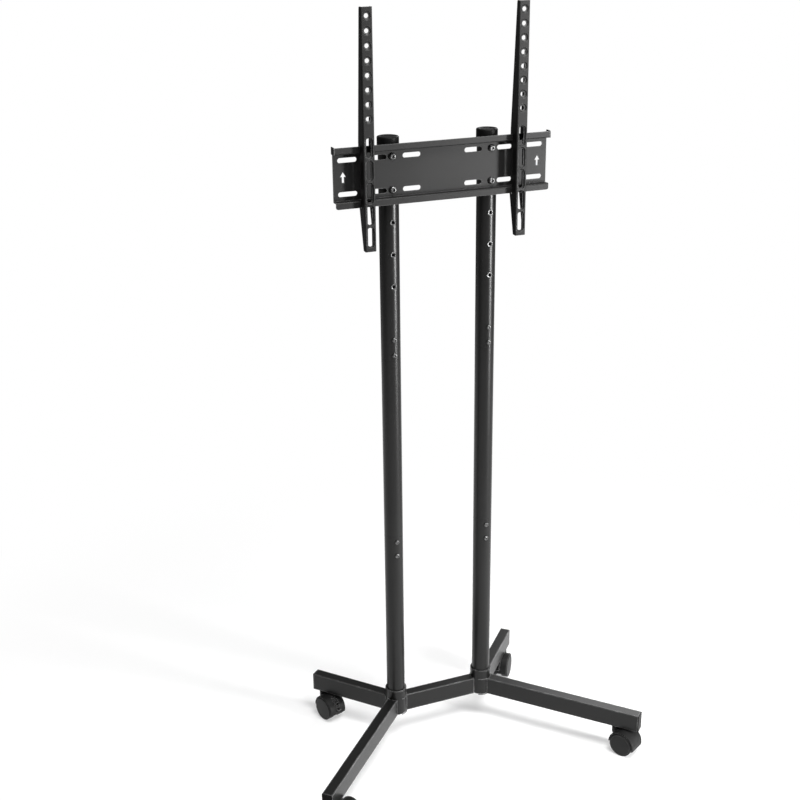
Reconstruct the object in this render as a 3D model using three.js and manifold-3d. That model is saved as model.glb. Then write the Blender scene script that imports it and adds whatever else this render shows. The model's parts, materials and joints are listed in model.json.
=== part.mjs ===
// Mobile television stand: two bolted tube poles on a splayed base with four
// twin-wheel casters, and a hooked wall plate that carries two television arms.
// Millimetres, +Z up. X runs along the wall plate, the television faces -Y.

import * as THREE from 'three';
import Module from 'manifold-3d';
import { mergeVertices } from 'three/addons/utils/BufferGeometryUtils.js';

const wasm = await Module();
wasm.setup();

// Fits between pieces
const seatGap = 0.3;
const runningGap = 0.4;
const cutOverrun = 4;

// Poles
const poleSpacing = 200;
const poleDiameter = 38;
const poleWall = 1.5;
const upperTubeLength = 419;
const middleTubeLength = 379;
const lowerSeamHeight = 479;
const sleeveWall = 2;
const sleeveReach = 50;
const sleeveAnchor = 40;
const capRimHeight = 7.5;
const capWall = 1.2;
const capEdgeRound = 2.4;
const capDishDepth = 1.2;
const capDishRadius = 15;
const capSkirtDrop = 9.5;
const radialSteps = 32;

// Screws that pin the tube joints
const jointScrewDiameter = 5;
const jointScrewHeadDiameter = 9.5;
const jointScrewHeadHeight = 2.4;
const jointScrewLength = 12;
const jointScrewNear = 10.5;
const jointScrewFar = 41.5;
const jointScrewSocketDiameter = 4.2;
const jointScrewSocketDepth = 1.4;
const screwSteps = 12;

// Height holes in the poles and the bolts that hold the wall plate there
const heightHoleCount = 5;
const heightHolePitch = 61.5;
const topHoleDrop = 26;
const heightHoleDiameter = 10;
const plateBoltDiameter = 8;
const plateBoltHeadDiameter = 13;
const plateBoltHeadHeight = 4.5;
const plateBoltLength = 16;
const plateBoltSocketDiameter = 6.9;
const plateBoltSocketDepth = 2.6;
const hexSides = 6;

// Base
const casterHeight = 57.7;
const legHeight = 38.2;
const legWidth = 21.6;
const legWall = 1.5;
const frontLegLength = 361;
const backLegLength = 200.5;
const frontLegAngle = 47.4;
const backLegAngle = 48.5;
const legTurn = 0.9;
const socketDiameter = 45;
const socketHeight = 58;
const socketRiseAboveLegs = 0.8;
const socketFloor = 3;
const endCapFace = 2;
const endCapPlugDepth = 9;
const endCapPlugWall = 2;

// Wall plate
const plateLength = 430;
const plateSheet = 2;
const plateRailDepth = 13;
const plateRailHeight = 12.5;
const plateFaceAboveBolts = 12;
const plateFaceBelowBolts = 12;
const plateStopSheet = 2;
const plateCornerCut = 4;
const plateSlotHeight = 9;
const plateSlotCentres = [62, 126.5, 187.5];
const plateSlotLengths = [35.5, 30.5, 37];
const plateHoleDiameter = 11;
const arrowCentreX = 196;
const arrowHeight = 19.5;
const arrowHeadHeight = 9;
const arrowHeadWidth = 11;
const arrowStemWidth = 4.4;
const slotEndSteps = 4;

// Television arms
const armWidth = 22;
const armLength = 429.3;
const armSheet = 2;
const armTopAboveRail = 239.6;
const armFrontAheadOfRail = 16.6;
const armTipDepth = 9;
const armHookRise = 8;
const armHookDrop = 9;
const armHookThickness = 7;
const armLowerStepGap = 1.5;
const armHoleCount = 8;
const armHolePitch = 25;
const armHoleDiameter = 8;
const armTopHoleDrop = 15;
const armSlotCount = 5;
const armSlotWidth = 9.5;
const armSlotLength = 34.5;
const armSlotPitch = 40.3;
const armFirstSlotDrop = 241.3;
const armLeftX = -156;
const armRightX = 148;

// Casters
const wheelDiameter = 50;
const wheelInnerFace = 6.4;
const wheelOuterFace = 21.5;
const wheelEdgeRound = 1.6;
const wheelDishDepth = 1.2;
const wheelDishRadius = 19;
const wheelSteps = 28;
const axleDiameter = 6;
const axleEndInset = 2.5;
const hoodThickness = 2.6;
const hoodClearance = 1.4;
const hoodHalfWidth = 20;
const hoodLowAngle = -15;
const hoodHighAngle = 180;
const hoodSteps = 16;
const webHalfWidth = 6;
const webHubRadius = 11;
const webFootDepth = 9;
const casterTrail = 22;
const casterBossRadius = 9;
const casterBossHeight = 7;
const stemDiameter = 10;
const stemPinDiameter = 8;
const stemPinDepth = 20;
const stemRise = 27;
const stemCollarDiameter = 14;
const stemCollarHeight = 3;
const frontCasterInset = 49.9;
const backCasterInset = 20;
const frontCasterTurn = 299;
const backLeftCasterTurn = 288;
const backRightCasterTurn = 230.5;

// Brake levers of the two back casters
const leverHalfWidth = 4.6;
const leverLowAngle = 8;
const leverHighAngle = 50;
const leverThickness = 5;
const leverProud = 1.8;
const leverLipReach = 4;
const leverPocketDepth = 10;
const leverPocketMargin = 9;
const leverSideGap = 0.5;
const leverSteps = 6;

// Heights and depths that follow from the sizes above
const poleRadius = poleDiameter / 2;
const poleX = poleSpacing / 2;
const legTop = casterHeight + legHeight;
const socketBottom = casterHeight + socketRiseAboveLegs;
const socketTop = socketBottom + socketHeight;
const upperSeamHeight = lowerSeamHeight + middleTubeLength;
const poleTop = upperSeamHeight + upperTubeLength;
const topBoltHeight = poleTop - topHoleDrop;
const lowBoltHeight = topBoltHeight - heightHolePitch;
const plateBack = -(poleRadius + seatGap);
const plateFront = plateBack - plateSheet;
const railFront = plateFront - plateRailDepth;
const railBack = railFront + plateSheet;
const topShelfLow = topBoltHeight + plateFaceAboveBolts;
const topRailTop = topShelfLow + plateRailHeight;
const bottomShelfHigh = lowBoltHeight - plateFaceBelowBolts;
const bottomRailLow = bottomShelfHigh - plateRailHeight;
const armFront = railFront - armFrontAheadOfRail;
const armTop = topRailTop + armTopAboveRail;
const armBottom = armTop - armLength;
const wheelRadius = wheelDiameter / 2;
const hoodInner = wheelRadius + hoodClearance;
const hoodOuter = hoodInner + hoodThickness;
const leverOuter = hoodOuter + leverProud;
const radians = THREE.MathUtils.degToRad;

// Materials
const steelPaint = new THREE.MeshStandardMaterial({
  color: 0x2e2e2d, roughness: 0.55, metalness: 0.25,
});
const platePaint = new THREE.MeshStandardMaterial({
  color: 0x3a3a3a, roughness: 0.55, metalness: 0.25,
});
const screwSteel = new THREE.MeshStandardMaterial({
  color: 0x1e1e1e, roughness: 0.4, metalness: 0.8,
});
const zincSteel = new THREE.MeshStandardMaterial({
  color: 0x8d8f92, roughness: 0.35, metalness: 0.9,
});
const blackPlastic = new THREE.MeshStandardMaterial({
  color: 0x1f1f20, roughness: 0.5, metalness: 0,
});
const wheelNylon = new THREE.MeshStandardMaterial({
  color: 0x262627, roughness: 0.6, metalness: 0,
});

const stand = new THREE.Group();

// Solid helpers: a closed geometry becomes a solid that can be cut and joined
function solid(geometry) {
  let plain = geometry.clone();
  plain.deleteAttribute('normal');
  plain.deleteAttribute('uv');
  plain = mergeVertices(plain);
  return new wasm.Manifold(new wasm.Mesh({
    numProp: 3,
    vertProperties: Float32Array.from(plain.attributes.position.array),
    triVerts: Uint32Array.from(plain.index.array),
  }));
}

function addPiece(name, shape, material, group = stand) {
  const result = shape.getMesh();
  const geometry = new THREE.BufferGeometry();
  const points = Float32Array.from(result.vertProperties);
  geometry.setAttribute('position', new THREE.BufferAttribute(points, 3));
  geometry.setIndex(new THREE.BufferAttribute(Uint32Array.from(result.triVerts), 1));
  geometry.computeVertexNormals();
  const mesh = new THREE.Mesh(geometry, material);
  mesh.name = name;
  group.add(mesh);
}

// A box between two corners
function block(low, high) {
  const size = high.map((value, i) => value - low[i]);
  const geometry = new THREE.BoxGeometry(...size);
  geometry.translate(...low.map((value, i) => value + size[i] / 2));
  return solid(geometry);
}

// A round turned about Z from [radius, height] points that start and end on the axis
function turned(points, steps = radialSteps) {
  const profile = points.map(([radius, height]) => new THREE.Vector2(radius, height));
  return solid(new THREE.LatheGeometry(profile, steps).rotateX(Math.PI / 2));
}

function rod(radius, low, high, steps = radialSteps) {
  return turned([[0, low], [radius, low], [radius, high], [0, high]], steps);
}

function pipe(outer, inner, low, high) {
  return rod(outer, low, high).subtract(rod(inner, low - cutOverrun, high + cutOverrun));
}

// A round whose axis runs along Y, from one y to another
function crossRod(radius, x, z, from, to, steps = radialSteps) {
  return rod(radius, from, to, steps).rotate([-90, 0, 0]).translate([x, 0, z]);
}

// An outline of [x, z] points, extruded along Y
function sideExtrusion(points, from, to) {
  const outline = new THREE.Shape(points.map(([x, z]) => new THREE.Vector2(x, z)));
  const depth = to - from;
  const geometry = new THREE.ExtrudeGeometry(outline, { depth, bevelEnabled: false });
  geometry.rotateX(Math.PI / 2).translate(0, to, 0);
  return solid(geometry);
}

// A horizontal or upright slot with round ends, cut along Y
function slotCutter(x, z, length, width, upright, from, to) {
  const radius = width / 2;
  const straight = length / 2 - radius;
  const points = [];
  for (const side of [1, -1]) {
    for (let i = 0; i <= slotEndSteps; i++) {
      const turn = (i / slotEndSteps - 1 / 2) * Math.PI + (side > 0 ? 0 : Math.PI);
      const along = side * straight + radius * Math.cos(turn);
      const across = radius * Math.sin(turn);
      points.push(upright ? [x - across, z + along] : [x + along, z + across]);
    }
  }
  return sideExtrusion(points, from, to);
}

// An arc of [radius, angle] points about a centre, as [x, z]
function arcPoints(centreX, centreZ, radius, fromAngle, toAngle, steps) {
  return Array.from({ length: steps + 1 }, (_, i) => {
    const turn = radians(fromAngle + ((toAngle - fromAngle) * i) / steps);
    return [centreX + radius * Math.cos(turn), centreZ + radius * Math.sin(turn)];
  });
}

// A button-head screw lying along Y, its head's seat at y = 0 and its shank towards +Y
function socketScrew(diameter, headDiameter, headHeight, length, socketDiameter, socketDepth) {
  const head = headDiameter / 2;
  const shank = diameter / 2;
  const round = headHeight / 2;
  const body = turned([
    [0, -headHeight],
    [head - round, -headHeight],
    [head - round / 3, -headHeight + round / 3],
    [head, -headHeight + round],
    [head, 0],
    [shank, 0],
    [shank, length],
    [0, length],
  ], screwSteps);
  const socket = rod(socketDiameter / 2, -headHeight - cutOverrun, -headHeight + socketDepth,
    hexSides);
  return body.subtract(socket).rotate([-90, 0, 0]);
}

// Poles: three tubes, two inner sleeves, a cap and four joint screws on each side
function buildPole(side, x) {
  const bore = poleRadius - poleWall;
  const sleeveOuter = bore - seatGap;
  const screwRadius = jointScrewDiameter / 2 + seatGap;
  const screwHeights = {
    upper: [upperSeamHeight + jointScrewNear, upperSeamHeight + jointScrewFar],
    lower: [lowerSeamHeight - jointScrewNear, lowerSeamHeight - jointScrewFar],
  };
  const frontHole = (radius, z) => crossRod(radius, 0, z, -poleRadius - cutOverrun, 0, screwSteps);

  let upper = pipe(poleRadius, bore, upperSeamHeight + seatGap, poleTop);
  for (let i = 0; i < heightHoleCount; i++) {
    const z = topBoltHeight - i * heightHolePitch;
    upper = upper.subtract(frontHole(heightHoleDiameter / 2, z));
  }
  for (const z of screwHeights.upper) upper = upper.subtract(frontHole(screwRadius, z));
  addPiece(`pole_tube_upper_${side}`, upper.translate([x, 0, 0]), steelPaint);

  const middle = pipe(poleRadius, bore, lowerSeamHeight, upperSeamHeight);
  addPiece(`pole_tube_middle_${side}`, middle.translate([x, 0, 0]), steelPaint);

  const lowerBottom = socketBottom + socketFloor + seatGap;
  let lower = pipe(poleRadius, bore, lowerBottom, lowerSeamHeight - seatGap);
  for (const z of screwHeights.lower) lower = lower.subtract(frontHole(screwRadius, z));
  addPiece(`pole_tube_lower_${side}`, lower.translate([x, 0, 0]), steelPaint);

  const sleeves = {
    upper: [upperSeamHeight - sleeveAnchor, upperSeamHeight + sleeveReach],
    lower: [lowerSeamHeight - sleeveReach, lowerSeamHeight + sleeveAnchor],
  };
  for (const [place, [low, high]] of Object.entries(sleeves)) {
    let sleeve = pipe(sleeveOuter, sleeveOuter - sleeveWall, low, high);
    for (const z of screwHeights[place]) sleeve = sleeve.subtract(frontHole(screwRadius, z));
    addPiece(`joint_sleeve_${place}_${side}`, sleeve.translate([x, 0, 0]), zincSteel);
    screwHeights[place].forEach((z, i) => {
      const screw = socketScrew(jointScrewDiameter, jointScrewHeadDiameter,
        jointScrewHeadHeight, jointScrewLength, jointScrewSocketDiameter,
        jointScrewSocketDepth);
      const placed = screw.translate([x, -poleRadius - seatGap, z]);
      addPiece(`joint_screw_${place}_${side}_${i + 1}`, placed, screwSteel);
    });
  }

  const capBore = poleRadius + seatGap;
  const capRadius = capBore + capWall;
  const capLow = poleTop + seatGap;
  const capTop = capLow + capRimHeight;
  const capRound = capEdgeRound / 3;
  const cap = turned([
    [0, capLow],
    [capBore, capLow],
    [capBore, poleTop - capSkirtDrop],
    [capRadius, poleTop - capSkirtDrop],
    [capRadius, capTop - capEdgeRound],
    [capRadius - capRound, capTop - capRound],
    [capRadius - capEdgeRound, capTop],
    [capDishRadius, capTop],
    [capDishRadius - capDishDepth, capTop - capDishDepth],
    [0, capTop - capDishDepth],
  ]);
  addPiece(`pole_cap_${side}`, cap.translate([x, 0, 0]), blackPlastic);
}

// Base: two sockets for the poles, a crossbar between them and four splayed legs
function rectTube(from, to) {
  const half = legWidth / 2;
  const outer = block([from, -half, casterHeight], [to, half, legTop]);
  const inner = block(
    [from - cutOverrun, -half + legWall, casterHeight + legWall],
    [to + cutOverrun, half - legWall, legTop - legWall],
  );
  return outer.subtract(inner);
}

function buildBase() {
  const socketRadius = socketDiameter / 2;
  const bore = poleRadius + seatGap;
  for (const [side, x] of [['left', -poleX], ['right', poleX]]) {
    const cup = rod(socketRadius, socketBottom, socketTop)
      .subtract(rod(bore, socketBottom + socketFloor, socketTop + cutOverrun));
    addPiece(`base_socket_${side}`, cup.translate([x, 0, 0]), steelPaint);
  }
  const around = rod(socketRadius + seatGap, socketBottom - cutOverrun, socketTop + cutOverrun);
  const crossbar = rectTube(-poleX, poleX)
    .subtract(around.translate([-poleX, 0, 0]))
    .subtract(around.translate([poleX, 0, 0]));
  addPiece('base_crossbar', crossbar, steelPaint);
}

// A leg lies along +X from its pole's axis, then is turned into place
function buildLeg(name, x, heading, length, casterInset) {
  const half = legWidth / 2;
  const around = rod(socketDiameter / 2 + seatGap, socketBottom - cutOverrun,
    socketTop + cutOverrun);
  const stemHole = rod(stemDiameter / 2 + seatGap, casterHeight - cutOverrun,
    casterHeight + legWall + cutOverrun, screwSteps);
  const tubeEnd = length - endCapFace - seatGap;
  const tube = rectTube(0, tubeEnd)
    .subtract(around)
    .subtract(stemHole.translate([length - casterInset, 0, 0]));
  const plugGap = legWall + seatGap;
  const face = block([length - endCapFace, -half, casterHeight], [length, half, legTop]);
  const plug = block(
    [length - endCapFace - endCapPlugDepth, -half + plugGap, casterHeight + plugGap],
    [length - endCapFace / 2, half - plugGap, legTop - plugGap],
  );
  const hollowGap = plugGap + endCapPlugWall;
  const hollow = block(
    [length - endCapFace - endCapPlugDepth - cutOverrun, -half + hollowGap,
      casterHeight + hollowGap],
    [length - endCapFace, half - hollowGap, legTop - hollowGap],
  );
  const place = (shape) => shape.rotate([0, 0, heading]).translate([x, 0, 0]);
  addPiece(`leg_${name}`, place(tube), steelPaint);
  addPiece(`leg_end_cap_${name}`, place(face.add(plug).subtract(hollow)), blackPlastic);
}

// Wall plate: a folded sheet with an upward rail above and a downward rail below
function buildWallPlate() {
  const half = plateLength / 2;
  const face = block([-half, plateFront, bottomShelfHigh - plateSheet],
    [half, plateBack, topShelfLow + plateSheet]);
  const topShelf = block([-half, railFront, topShelfLow],
    [half, plateBack, topShelfLow + plateSheet]);
  const topLip = block([-half, railFront, topShelfLow], [half, railBack, topRailTop]);
  const bottomShelf = block([-half, railFront, bottomShelfHigh - plateSheet],
    [half, plateBack, bottomShelfHigh]);
  const bottomLip = block([-half, railFront, bottomRailLow], [half, railBack, bottomShelfHigh]);
  let plate = face.add(topShelf).add(topLip).add(bottomShelf).add(bottomLip);
  for (const side of [-1, 1]) {
    const ends = [side * half, side * (half + plateStopSheet)].sort((a, b) => a - b);
    plate = plate.add(block([ends[0], railFront, topShelfLow],
      [ends[1], plateBack, topRailTop + plateSheet / 2]));
  }
  const cutFrom = railFront - cutOverrun;
  const cutTo = plateBack + cutOverrun;
  for (const z of [topBoltHeight, lowBoltHeight]) {
    for (const side of [-1, 1]) {
      plateSlotCentres.forEach((centre, i) => {
        plate = plate.subtract(slotCutter(side * centre, z, plateSlotLengths[i],
          plateSlotHeight, false, cutFrom, cutTo));
      });
      plate = plate.subtract(crossRod(plateHoleDiameter / 2, side * poleX, z, cutFrom, cutTo,
        screwSteps));
    }
  }
  const arrowLow = (topBoltHeight + lowBoltHeight - arrowHeight) / 2;
  const shoulder = arrowLow + arrowHeight - arrowHeadHeight;
  for (const side of [-1, 1]) {
    const x = side * arrowCentreX;
    plate = plate.subtract(sideExtrusion([
      [x - arrowStemWidth / 2, arrowLow],
      [x + arrowStemWidth / 2, arrowLow],
      [x + arrowStemWidth / 2, shoulder],
      [x + arrowHeadWidth / 2, shoulder],
      [x, arrowLow + arrowHeight],
      [x - arrowHeadWidth / 2, shoulder],
      [x - arrowStemWidth / 2, shoulder],
    ], cutFrom, cutTo));
    const edge = side * half;
    const lipEnd = edge - side * plateCornerCut;
    const corner = bottomRailLow + plateCornerCut;
    plate = plate.subtract(sideExtrusion([
      [lipEnd, bottomRailLow - cutOverrun],
      [lipEnd, bottomRailLow],
      [edge, corner],
      [edge + side * cutOverrun, corner],
      [edge + side * cutOverrun, bottomRailLow - cutOverrun],
    ], cutFrom, cutTo));
  }
  addPiece('wall_plate', plate, platePaint);

  for (const [side, x] of [['left', -poleX], ['right', poleX]]) {
    for (const [level, z] of [['top', topBoltHeight], ['bottom', lowBoltHeight]]) {
      const bolt = socketScrew(plateBoltDiameter, plateBoltHeadDiameter, plateBoltHeadHeight,
        plateBoltLength, plateBoltSocketDiameter, plateBoltSocketDepth);
      addPiece(`plate_bolt_${level}_${side}`, bolt.translate([x, plateFront - seatGap, z]),
        screwSteel);
    }
  }
}

// Television arm: a folded channel whose flanges hook over the plate's upper rail
function buildArm(side, x) {
  const half = armWidth / 2;
  const seat = railFront - seatGap;
  const hookBack = railBack + seatGap + armHookThickness;
  const lipTop = topRailTop + seatGap;
  const lowerStep = bottomRailLow - armLowerStepGap;
  const shoulder = lipTop + armHookRise;
  const flangeOutline = [
    [armFront, armBottom],
    [armFront + armTipDepth, armBottom],
    [hookBack, lowerStep],
    [seat, lowerStep],
    [seat, lipTop],
    [railBack + seatGap, lipTop],
    [railBack + seatGap, lipTop - armHookDrop],
    [hookBack, lipTop - armHookDrop],
    [hookBack, shoulder],
    [armFront + armTipDepth, armTop],
    [armFront, armTop],
  ];
  // The outline is drawn as [y, z], so it is extruded along Y and turned to lie along X
  const flange = (from, to) => sideExtrusion(flangeOutline, -to, -from).rotate([0, 0, 90]);
  let arm = block([-half, armFront, armBottom], [half, armFront + armSheet, armTop])
    .add(flange(-half, -half + armSheet))
    .add(flange(half - armSheet, half));
  const cutFrom = armFront - cutOverrun;
  const cutTo = armFront + armSheet + cutOverrun;
  for (let i = 0; i < armHoleCount; i++) {
    const z = armTop - armTopHoleDrop - i * armHolePitch;
    arm = arm.subtract(crossRod(armHoleDiameter / 2, 0, z, cutFrom, cutTo, screwSteps));
  }
  for (let i = 0; i < armSlotCount; i++) {
    const z = armTop - armFirstSlotDrop - i * armSlotPitch;
    arm = arm.subtract(slotCutter(0, z, armSlotLength, armSlotWidth, true, cutFrom, cutTo));
  }
  addPiece(`tv_arm_${side}`, arm.translate([x, 0, 0]), steelPaint);
}

// Caster, drawn with its swivel axis on Z and its wheels trailing towards +X
function buildCaster(name, x, y, turn, withBrake) {
  const group = new THREE.Group();
  group.position.set(x, y, 0);
  group.rotation.z = radians(turn);
  stand.add(group);

  const bossTop = casterHeight - stemCollarHeight - 2 * seatGap;
  const bossLow = bossTop - casterBossHeight;
  const pinLow = bossTop - stemPinDepth;
  const pinRadius = stemPinDiameter / 2;
  const collarLow = bossTop + seatGap;
  const collarTop = casterHeight - seatGap;
  const stem = turned([
    [0, pinLow + seatGap],
    [pinRadius, pinLow + seatGap],
    [pinRadius, collarLow],
    [stemCollarDiameter / 2, collarLow],
    [stemCollarDiameter / 2, collarTop],
    [stemDiameter / 2, collarTop],
    [stemDiameter / 2, casterHeight + stemRise],
    [0, casterHeight + stemRise],
  ], screwSteps);
  addPiece(`caster_stem_${name}`, stem, screwSteel, group);

  const centre = casterTrail;
  const axis = wheelRadius;
  const outerArc = arcPoints(centre, axis, hoodOuter, hoodLowAngle, hoodHighAngle, hoodSteps);
  const innerArc = arcPoints(centre, axis, hoodInner, hoodHighAngle, hoodLowAngle, hoodSteps);
  const hood = sideExtrusion([...outerArc, ...innerArc], -hoodHalfWidth, hoodHalfWidth);
  const webOutline = [
    ...arcPoints(centre, axis, (hoodInner + hoodOuter) / 2, hoodLowAngle, hoodHighAngle,
      hoodSteps),
    [centre - webHubRadius, axis - webFootDepth],
    [centre + webHubRadius, axis - webFootDepth],
  ];
  const web = sideExtrusion(webOutline, -webHalfWidth, webHalfWidth);
  let boss = rod(casterBossRadius, bossLow - casterBossHeight, bossTop);
  boss = boss.subtract(crossRod((hoodInner + hoodOuter) / 2, centre, axis,
    -hoodHalfWidth, hoodHalfWidth));
  let housing = hood.add(web).add(boss)
    .subtract(rod(pinRadius + runningGap, pinLow, bossTop + cutOverrun, screwSteps))
    .subtract(crossRod(axleDiameter / 2 + seatGap, centre, axis, -hoodHalfWidth,
      hoodHalfWidth, screwSteps));
  if (withBrake) {
    const pocketInner = hoodOuter - leverPocketDepth;
    const low = leverLowAngle - leverPocketMargin;
    const high = leverHighAngle + leverPocketMargin / 2;
    const pocket = sideExtrusion([
      ...arcPoints(centre, axis, hoodOuter + cutOverrun, low, high, leverSteps),
      ...arcPoints(centre, axis, pocketInner, high, low, leverSteps),
    ], -leverHalfWidth - leverSideGap, leverHalfWidth + leverSideGap);
    housing = housing.subtract(pocket);
    const inner = leverOuter - leverThickness;
    const outer = arcPoints(centre, axis, leverOuter, leverLowAngle, leverHighAngle, leverSteps);
    const lip = arcPoints(centre, axis, leverOuter + leverLipReach, leverLowAngle,
      leverHighAngle, leverSteps)[0];
    const lever = sideExtrusion([
      lip,
      ...outer.slice(1),
      ...arcPoints(centre, axis, inner, leverHighAngle, leverLowAngle, leverSteps),
    ], -leverHalfWidth, leverHalfWidth);
    addPiece(`caster_brake_lever_${name}`, lever, blackPlastic, group);
  }
  addPiece(`caster_hood_${name}`, housing, blackPlastic, group);

  const axleEnd = wheelOuterFace - axleEndInset;
  const axle = crossRod(axleDiameter / 2, centre, axis, -axleEnd, axleEnd, screwSteps);
  addPiece(`caster_axle_${name}`, axle, zincSteel, group);

  const wheelBore = axleDiameter / 2 + runningGap;
  const boreEnd = axleEnd + seatGap;
  for (const [place, way] of [['a', 1], ['b', -1]]) {
    const profile = turned([
      [0, wheelInnerFace],
      [wheelRadius - wheelEdgeRound, wheelInnerFace],
      [wheelRadius, wheelInnerFace + wheelEdgeRound],
      [wheelRadius, wheelOuterFace - wheelEdgeRound],
      [wheelRadius - wheelEdgeRound, wheelOuterFace],
      [wheelDishRadius, wheelOuterFace],
      [wheelDishRadius - wheelDishDepth, wheelOuterFace - wheelDishDepth],
      [0, wheelOuterFace - wheelDishDepth],
    ], wheelSteps).subtract(rod(wheelBore, wheelInnerFace - cutOverrun, boreEnd, screwSteps));
    const wheel = profile.rotate([-90 * way, 0, 0]).translate([centre, 0, axis]);
    addPiece(`caster_wheel_${place}_${name}`, wheel, wheelNylon, group);
  }
}

buildPole('left', -poleX);
buildPole('right', poleX);
buildBase();
buildWallPlate();
buildArm('left', armLeftX);
buildArm('right', armRightX);

const legs = [
  { name: 'front_left', x: -poleX, heading: 180 + frontLegAngle, length: frontLegLength,
    inset: frontCasterInset, turn: frontCasterTurn, brake: false },
  { name: 'front_right', x: poleX, heading: -frontLegAngle, length: frontLegLength,
    inset: frontCasterInset, turn: frontCasterTurn, brake: false },
  { name: 'back_left', x: -poleX, heading: 180 - backLegAngle, length: backLegLength,
    inset: backCasterInset, turn: backLeftCasterTurn, brake: true },
  { name: 'back_right', x: poleX, heading: backLegAngle, length: backLegLength,
    inset: backCasterInset, turn: backRightCasterTurn, brake: true },
];
for (const leg of legs) {
  const heading = leg.heading - legTurn;
  buildLeg(leg.name, leg.x, heading, leg.length, leg.inset);
  const reach = leg.length - leg.inset;
  const along = radians(heading);
  buildCaster(leg.name, leg.x + reach * Math.cos(along), reach * Math.sin(along), leg.turn,
    leg.brake);
}

// The origin is on the floor under the middle of the overall footprint
const footprint = new THREE.Box3().setFromObject(stand, true);
const middle = footprint.getCenter(new THREE.Vector3());
stand.position.set(-middle.x, -middle.y, 0);

export default stand;
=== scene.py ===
# %% [markdown]
# # A mobile television stand, dressed around its CAD frame
#
# The CAD model already has the stand's sizes, its bodies and its joints. Blender adds what the
# eye sees: folded edges, screw heads, moulded casters, powder coat and light. Every piece is
# drawn in metres in the CAD's own frame, so a piece goes where the CAD says, with no fitting.

import json
import math

import bmesh
import bpy
from mathutils import Matrix, Vector


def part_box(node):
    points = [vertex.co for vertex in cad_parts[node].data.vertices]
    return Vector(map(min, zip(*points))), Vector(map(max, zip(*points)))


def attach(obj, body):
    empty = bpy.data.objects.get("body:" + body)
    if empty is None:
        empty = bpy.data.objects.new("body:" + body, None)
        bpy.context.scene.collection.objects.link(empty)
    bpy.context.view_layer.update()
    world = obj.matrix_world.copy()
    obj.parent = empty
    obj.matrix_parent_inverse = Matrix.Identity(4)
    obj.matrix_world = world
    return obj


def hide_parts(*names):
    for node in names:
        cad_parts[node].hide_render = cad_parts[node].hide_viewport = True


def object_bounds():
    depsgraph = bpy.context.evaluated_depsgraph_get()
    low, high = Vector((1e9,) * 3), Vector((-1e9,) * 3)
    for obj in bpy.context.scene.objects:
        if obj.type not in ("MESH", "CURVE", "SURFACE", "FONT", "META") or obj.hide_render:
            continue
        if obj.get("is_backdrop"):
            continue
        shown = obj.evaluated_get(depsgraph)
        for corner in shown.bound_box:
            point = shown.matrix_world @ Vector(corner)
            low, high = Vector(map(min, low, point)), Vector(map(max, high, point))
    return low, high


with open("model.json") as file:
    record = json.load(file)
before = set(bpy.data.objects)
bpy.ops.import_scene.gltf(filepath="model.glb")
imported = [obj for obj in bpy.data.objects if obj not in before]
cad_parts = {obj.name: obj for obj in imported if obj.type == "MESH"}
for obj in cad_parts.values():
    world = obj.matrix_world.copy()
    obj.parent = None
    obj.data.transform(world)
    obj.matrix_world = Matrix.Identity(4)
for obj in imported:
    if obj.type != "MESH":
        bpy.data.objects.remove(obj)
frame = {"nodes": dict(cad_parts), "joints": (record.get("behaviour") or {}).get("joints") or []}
cad_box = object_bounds()
nodes = frame["nodes"]
print(len(nodes), "CAD nodes in", [[round(c, 3) for c in corner] for corner in cad_box])

# %% [markdown]
# ## The camera
#
# The photograph was taken from the left and above, about 2.4 m away. The camera's place, turn and
# lens come from matching the poles, the plate and the arms. The lens is given by its focal length
# in pixels of the photograph.

# %% Camera
FOCAL_PIXELS = 1298.145
PHOTO_PIXELS = 800
SENSOR_MM = 36.0
CAMERA_PLACE = Vector((-0.971592, -2.145626, 1.67506))
CAMERA_YAW, CAMERA_PITCH, CAMERA_ROLL = -22.005, -20.84, -0.711

camera_data = bpy.data.cameras.new("photo_camera")
camera_data.sensor_width = SENSOR_MM
camera_data.lens = SENSOR_MM * FOCAL_PIXELS / PHOTO_PIXELS
camera = bpy.data.objects.new("photo_camera", camera_data)
bpy.context.scene.collection.objects.link(camera)
camera.matrix_world = (
    Matrix.Translation(CAMERA_PLACE)
    @ Matrix.Rotation(math.radians(CAMERA_YAW), 4, "Z")
    @ Matrix.Rotation(math.radians(90 + CAMERA_PITCH), 4, "X")
    @ Matrix.Rotation(math.radians(CAMERA_ROLL), 4, "Z")
)
bpy.context.scene.camera = camera
print("lens", round(camera_data.lens, 2), "mm")

# %% [markdown]
# ## Writing shader maths as Python
#
# A shader is a graph of nodes. Drawing it by hand is slow to read, so one small class wraps a
# node's output and lets + - * | add the Math nodes, and one method adds any other node. The
# material then reads like the sentence that describes it.

# %% Shader helpers
class Wire:
    """One output of a shader node. Arithmetic on it adds Math nodes."""

    def __init__(self, graph, socket):
        self.graph, self.socket = graph, socket

    def math(self, operation, first, second):
        return self.graph.node("ShaderNodeMath", {"operation": operation}, {0: first, 1: second})

    def __add__(self, other):
        return self.math("ADD", self, other)

    def __sub__(self, other):
        return self.math("SUBTRACT", self, other)

    def __rsub__(self, other):
        return self.math("SUBTRACT", other, self)

    def __mul__(self, other):
        return self.math("MULTIPLY", self, other)

    def __or__(self, other):
        return self.math("MAXIMUM", self, other)

    __radd__, __rmul__ = __add__, __mul__


class Graph:
    """A node tree, built up node by node."""

    def __init__(self, tree):
        self.tree = tree

    def node(self, kind, settings=None, inputs=None, output=0):
        made = self.tree.nodes.new(kind)
        for name, value in (settings or {}).items():
            setattr(made, name, value)
        for socket, value in (inputs or {}).items():
            self.feed(made.inputs[socket], value)
        return Wire(self, made.outputs[output])

    def feed(self, socket, value):
        if isinstance(value, Wire):
            self.tree.links.new(value.socket, socket)
        else:
            socket.default_value = value


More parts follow.
